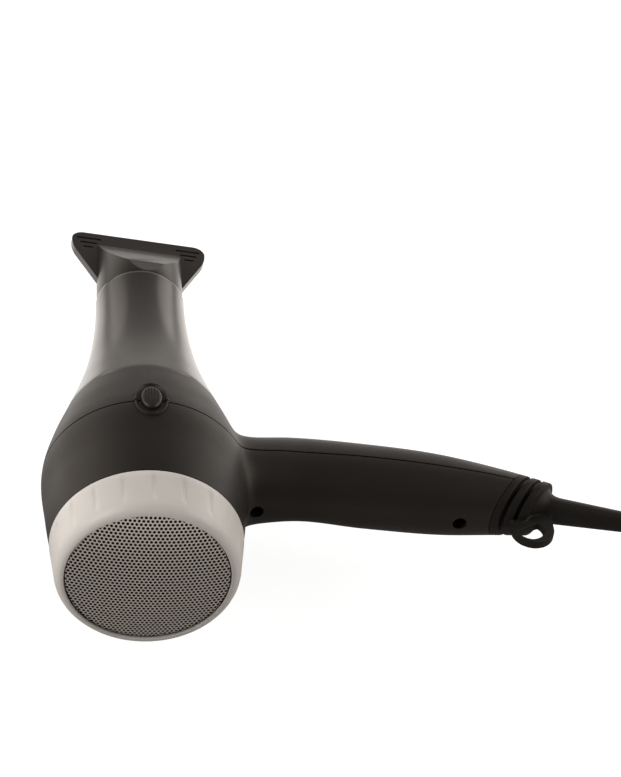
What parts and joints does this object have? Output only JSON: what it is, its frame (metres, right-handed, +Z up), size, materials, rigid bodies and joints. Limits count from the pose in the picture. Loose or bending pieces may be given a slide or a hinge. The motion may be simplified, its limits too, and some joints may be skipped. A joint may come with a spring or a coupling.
{
  "type": "hair dryer",
  "caption": "Pistol-grip hair dryer lying on its side: tapered barrel with flat concentrator nozzle, twist-off meshed rear cap, cool button, rocker switches, hanging loop and coiled mains cord.",
  "frame": {"origin": "on the surface under the middle of the dryer, its cord left out", "axes": "+X along the handle towards the cord, +Y along the barrel towards the nozzle, +Z up from the surface the dryer lies on"},
  "size_m": [0.506, 0.2551, 0.0954],
  "materials": {
    "body_plastic": "satin",
    "nozzle_plastic": "satin",
    "cap_plastic": "satin",
    "grille_metal": "satin",
    "filter_fabric": "matte",
    "black_plastic": "satin",
    "rubber": "matte",
    "steel": "satin",
    "motor_steel": "satin",
    "copper_core": "satin",
    "bearing_brass": "satin",
    "mica": "matte",
    "heater_wire": "satin",
    "switch_plastic": "satin",
    "pin_metal": "polished",
    "wire_sheath": "satin",
    "fan_plastic": "satin"
  },
  "bodies": {
    "housing": {"front_housing": "body_plastic", "rear_housing": "body_plastic", "front_barrel": "body_plastic", "motor_mount": "black_plastic", "motor_can": "motor_steel", "motor_end_cap": "black_plastic", "rear_bearing": "bearing_brass", "front_bearing": "bearing_brass", "mica_liner": "mica", "heater_board_a": "mica", "heater_board_b": "mica", "heater_coil": "heater_wire", "thermostat": "steel", "thermal_fuse": "steel", "outlet_guard": "black_plastic", "cool_spring": "steel", "cool_switch": "black_plastic", "switch_bezel": "switch_plastic", "heat_switch": "switch_plastic", "speed_switch": "switch_plastic", "handle_screws": "steel", "terminal_block": "mica", "lead_wires": "wire_sheath", "motor_wires": "wire_sheath", "strain_relief": "rubber", "cord": "rubber", "cord_coil": "rubber", "cord_tail": "rubber", "cord_tie": "black_plastic", "plug_body": "rubber", "plug_pins": "pin_metal"},
    "cap": {"rear_cap": "cap_plastic", "intake_grille": "grille_metal", "filter_ring": "black_plastic", "lint_filter": "filter_fabric"},
    "rotor": {"fan_impeller": "fan_plastic", "armature": "copper_core", "motor_shaft": "steel"},
    "nozzle": {"concentrator": "nozzle_plastic"},
    "button": {"cool_button": "switch_plastic"},
    "heat_rocker": {"heat_rocker": "black_plastic"},
    "speed_rocker": {"speed_rocker": "black_plastic"}
  },
  "joints": [
    {"name": "concentrator_swivel", "type": "hinge", "parent": "housing", "child": "nozzle", "pos_m": [-0.08782, 0.07755, 0.04665], "axis": [0, 1, 0], "continuous": true},
    {"name": "cap_twist", "type": "hinge", "parent": "housing", "child": "cap", "pos_m": [-0.08782, -0.11045, 0.04665], "axis": [0, 1, 0], "range_deg": [0, 25]},
    {"name": "rotor_spin", "type": "hinge", "parent": "housing", "child": "rotor", "pos_m": [-0.08782, -0.06245, 0.04665], "axis": [0, 1, 0], "continuous": true},
    {"name": "cool_button_push", "type": "slide", "parent": "housing", "child": "button", "axis": [0, 0, -1], "range_m": [0, 0.002], "stiffness_N_per_m": 800, "springref_m": -0.002, "deforming": ["cool_spring"]},
    {"name": "heat_rocker_tilt", "type": "hinge", "parent": "housing", "child": "heat_rocker", "pos_m": [-0.00788, -0.04027, 0.04665], "axis": [0, 0, 1], "range_deg": [-8, 8]},
    {"name": "speed_rocker_tilt", "type": "hinge", "parent": "housing", "child": "speed_rocker", "pos_m": [0.01489, -0.04349, 0.04665], "axis": [0, 0, 1], "range_deg": [-8, 8]}
  ]
}
